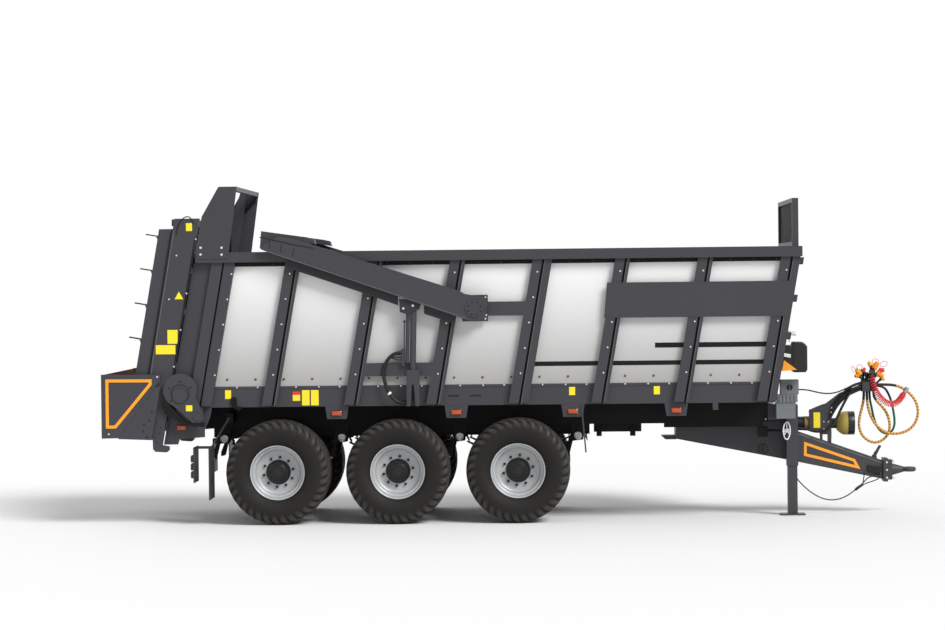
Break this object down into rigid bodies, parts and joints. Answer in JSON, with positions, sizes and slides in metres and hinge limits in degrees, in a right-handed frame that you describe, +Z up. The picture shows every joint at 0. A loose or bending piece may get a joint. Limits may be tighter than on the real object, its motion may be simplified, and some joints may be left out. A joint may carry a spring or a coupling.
{
  "type": "tridem manure spreader",
  "caption": "Trailed three-axle manure spreader with a leaning box body, upright beaters, spreading discs, rear gate, swing frame and drawbar on a jack.",
  "frame": {"origin": "on the ground under the middle of the bounding box", "axes": "+X towards the drawbar, +Y to the machine's left, +Z up"},
  "size_m": [9.286, 2.55, 3.803],
  "materials": {
    "body_paint": "satin graphite grey paint",
    "chassis_paint": "near-black paint",
    "panel": "smooth silver-white sheet",
    "tyre": "matt black rubber",
    "rim_paint": "silver paint",
    "steel": "dark bare steel",
    "black_plastic": "black plastic",
    "black_rubber": "black rubber hose",
    "green": "green spiral wrap",
    "yellow": "yellow",
    "red": "red",
    "cast_grey": "grey casting"
  },
  "bodies": {
    "frame": {"air_tank": "chassis_paint", "arm_mounts": "body_paint", "axles": "chassis_paint", "beater_frame": "body_paint", "chassis": "chassis_paint", "coil_cable": "red", "coil_plug": "cast_grey", "control_line": "black_rubber", "cylinder_hose_left": "black_rubber", "cylinder_hose_right": "black_rubber", "drawbar": "body_paint", "drive_covers": "body_paint", "floor_chain": "chassis_paint", "front_wall": "body_paint", "handwheels": "steel", "hose_green": "green", "hose_lower": "black_rubber", "hose_mast": "black_plastic", "hose_yellow_a": "yellow", "hose_yellow_b": "yellow", "jack_column": "body_paint", "lamps": "body_paint", "load_floor": "chassis_paint", "name_boards": "body_paint", "oil_tank": "black_plastic", "portal": "body_paint", "posts": "body_paint", "pto_shaft": "black_plastic", "rear_walls": "body_paint", "safety_cable": "black_rubber", "side_walls": "panel", "sills": "body_paint", "spreading_deck": "body_paint", "springs": "chassis_paint", "top_rails": "body_paint", "towing_eye": "steel", "valve_block": "cast_grey"},
    "wheel_right_1": {"tyre_right_1": "tyre", "rim_right_1": "rim_paint"},
    "wheel_right_2": {"tyre_right_2": "tyre", "rim_right_2": "rim_paint"},
    "wheel_right_3": {"tyre_right_3": "tyre", "rim_right_3": "rim_paint"},
    "wheel_left_1": {"tyre_left_1": "tyre", "rim_left_1": "rim_paint"},
    "wheel_left_2": {"tyre_left_2": "tyre", "rim_left_2": "rim_paint"},
    "wheel_left_3": {"tyre_left_3": "tyre", "rim_left_3": "rim_paint"},
    "beater_right": {"beater_right": "chassis_paint"},
    "disc_right": {"spreading_disc_right": "chassis_paint"},
    "beater_left": {"beater_left": "chassis_paint"},
    "disc_left": {"spreading_disc_left": "chassis_paint"},
    "gate": {"gate": "body_paint"},
    "swing_frame": {"swing_frame": "body_paint"},
    "cylinder_right": {"cylinder_right": "body_paint"},
    "cylinder_rod_right": {"cylinder_rod_right": "steel"},
    "cylinder_left": {"cylinder_left": "body_paint"},
    "cylinder_rod_left": {"cylinder_rod_left": "steel"},
    "jack_leg": {"jack_leg": "steel"}
  },
  "joints": [
    {"name": "wheel_right_1_spin", "type": "hinge", "parent": "frame", "child": "wheel_right_1", "pos_m": [-2.65, -0.975, 0.586], "axis": [0, 1, 0], "continuous": true},
    {"name": "wheel_right_2_spin", "type": "hinge", "parent": "frame", "child": "wheel_right_2", "pos_m": [-1.3, -0.975, 0.586], "axis": [0, 1, 0], "continuous": true},
    {"name": "wheel_right_3_spin", "type": "hinge", "parent": "frame", "child": "wheel_right_3", "pos_m": [0.05, -0.975, 0.586], "axis": [0, 1, 0], "continuous": true},
    {"name": "wheel_left_1_spin", "type": "hinge", "parent": "frame", "child": "wheel_left_1", "pos_m": [-2.65, 0.975, 0.586], "axis": [0, 1, 0], "continuous": true},
    {"name": "wheel_left_2_spin", "type": "hinge", "parent": "frame", "child": "wheel_left_2", "pos_m": [-1.3, 0.975, 0.586], "axis": [0, 1, 0], "continuous": true},
    {"name": "wheel_left_3_spin", "type": "hinge", "parent": "frame", "child": "wheel_left_3", "pos_m": [0.05, 0.975, 0.586], "axis": [0, 1, 0], "continuous": true},
    {"name": "beater_right_spin", "type": "hinge", "parent": "frame", "child": "beater_right", "pos_m": [-4.028, -0.5, 1.64], "axis": [0.1736, 0, 0.9848], "continuous": true},
    {"name": "disc_right_spin", "type": "hinge", "parent": "frame", "child": "disc_right", "pos_m": [-4.17, -0.54, 1.2], "axis": [0, 0, 1], "continuous": true},
    {"name": "beater_left_spin", "type": "hinge", "parent": "frame", "child": "beater_left", "pos_m": [-4.028, 0.5, 1.64], "axis": [0.1736, 0, 0.9848], "continuous": true},
    {"name": "disc_left_spin", "type": "hinge", "parent": "frame", "child": "disc_left", "pos_m": [-4.17, 0.54, 1.2], "axis": [0, 0, 1], "continuous": true},
    {"name": "gate_lift", "type": "slide", "parent": "frame", "child": "gate", "axis": [0.1736, 0, 0.9848], "range_m": [0, 0.8]},
    {"name": "swing_lift", "type": "hinge", "parent": "frame", "child": "swing_frame", "pos_m": [-0.417, 0, 2.407], "axis": [0, 1, 0], "range_deg": [0, 30]},
    {"name": "cylinder_right_tilt", "type": "hinge", "parent": "frame", "child": "cylinder_right", "pos_m": [-1.12, -1.178, 1.655], "axis": [0, 1, 0], "range_deg": [0, 8]},
    {"name": "cylinder_right_extend", "type": "slide", "parent": "cylinder_right", "child": "cylinder_rod_right", "axis": [0.0231, 0, 0.9997], "range_m": [0, 0.36]},
    {"name": "cylinder_left_tilt", "type": "hinge", "parent": "frame", "child": "cylinder_left", "pos_m": [-1.12, 1.178, 1.655], "axis": [0, 1, 0], "range_deg": [0, 8]},
    {"name": "cylinder_left_extend", "type": "slide", "parent": "cylinder_left", "child": "cylinder_rod_left", "axis": [0.0231, 0, 0.9997], "range_m": [0, 0.36]},
    {"name": "jack_lift", "type": "slide", "parent": "frame", "child": "jack_leg", "axis": [0, 0, 1], "range_m": [0, 0.45]}
  ],
  "couplings": [
    {"joint": "cylinder_right_tilt", "follows": "swing_lift", "ratio": 0.18},
    {"joint": "cylinder_right_extend", "follows": "swing_lift", "m_per_rad": 0.655},
    {"joint": "cylinder_left_tilt", "follows": "swing_lift", "ratio": 0.18},
    {"joint": "cylinder_left_extend", "follows": "swing_lift", "m_per_rad": 0.655}
  ]
}
